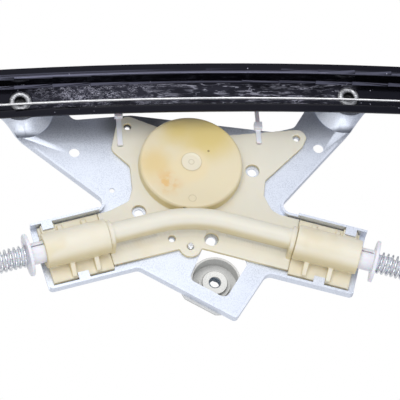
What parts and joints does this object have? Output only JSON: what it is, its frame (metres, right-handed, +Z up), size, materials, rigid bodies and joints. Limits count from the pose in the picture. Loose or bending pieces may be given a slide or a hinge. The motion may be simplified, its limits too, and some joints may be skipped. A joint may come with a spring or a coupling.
{
  "type": "window regulator",
  "caption": "Single-rail cable window regulator: curved rail, cable drum and housing on a pressed plate, sprung conduits, end pulleys and a glass carrier that slides along the rail.",
  "frame": {"origin": "on the cable drum's axis, in the plane of the pressed plate's back face", "axes": "+Z up the rail in the door, +Y toward the motor side behind the plate, -Y toward the glass, +X from the drum toward the rail"},
  "size_m": [0.1737, 0.0522, 0.5246],
  "materials": {
    "galvanised_steel": "bright zinc coat, satin",
    "black_steel": "gloss black paint with grease on the web",
    "bright_steel": "bright plated",
    "cable_steel": "greased wire strand",
    "cream_nylon": "cream moulded nylon, satin",
    "white_nylon": "milky nylon, slightly glossy",
    "grey_nylon": "dark moulded nylon",
    "black_liner": "black conduit cover",
    "stop_rubber": "soft black rubber"
  },
  "bodies": {
    "regulator": {"drum_plate": "galvanised_steel", "guide_rail": "black_steel", "rail_rivets": "bright_steel", "drum_housing": "cream_nylon", "upper_spring_cup": "cream_nylon", "upper_conduit_bush": "white_nylon", "upper_tension_spring": "bright_steel", "upper_conduit_sleeve": "white_nylon", "upper_conduit": "black_liner", "upper_cable": "cable_steel", "upper_deflector": "white_nylon", "upper_deflector_cover": "galvanised_steel", "upper_pulley_pin": "bright_steel", "upper_stop": "stop_rubber", "upper_cable_tie": "white_nylon", "lower_spring_cup": "cream_nylon", "lower_conduit_bush": "white_nylon", "lower_tension_spring": "bright_steel", "lower_conduit_sleeve": "white_nylon", "lower_conduit": "black_liner", "lower_cable": "cable_steel", "lower_deflector": "white_nylon", "lower_deflector_cover": "galvanised_steel", "lower_pulley_pin": "bright_steel", "lower_stop": "stop_rubber", "lower_cable_tie": "white_nylon", "rear_bracket": "galvanised_steel", "weld_nut": "bright_steel", "locating_pin": "bright_steel"},
    "carrier": {"glass_carrier": "grey_nylon", "cable_nipples": "bright_steel", "glass_pads": "stop_rubber", "clamp_plate": "galvanised_steel", "clamp_bolts": "bright_steel"},
    "drum": {"cable_drum": "grey_nylon", "drum_windings": "cable_steel"},
    "upper_wheel": {"upper_pulley": "grey_nylon"},
    "lower_wheel": {"lower_pulley": "grey_nylon"}
  },
  "joints": [
    {"name": "carrier_travel", "type": "hinge", "parent": "regulator", "child": "carrier", "pos_m": [0, 1.2855, 0], "axis": [-1, 0, 0], "range_deg": [0, 16.1]},
    {"name": "drum_spin", "type": "hinge", "parent": "regulator", "child": "drum", "pos_m": [0, 0, 0], "axis": [0, -1, 0], "range_deg": [0, 809]},
    {"name": "upper_pulley_spin", "type": "hinge", "parent": "regulator", "child": "upper_wheel", "pos_m": [0.0224, 0.00216, 0.23899], "axis": [0, -0.9831, 0.1831], "range_deg": [0, 1314]},
    {"name": "lower_pulley_spin", "type": "hinge", "parent": "regulator", "child": "lower_wheel", "pos_m": [0.0224, 0.00216, -0.23899], "axis": [0, -0.9831, -0.1831], "range_deg": [0, 1314]}
  ],
  "couplings": [
    {"joint": "drum_spin", "follows": "carrier_travel", "ratio": 50.208},
    {"joint": "upper_pulley_spin", "follows": "carrier_travel", "ratio": 81.588},
    {"joint": "lower_pulley_spin", "follows": "carrier_travel", "ratio": 81.588}
  ]
}
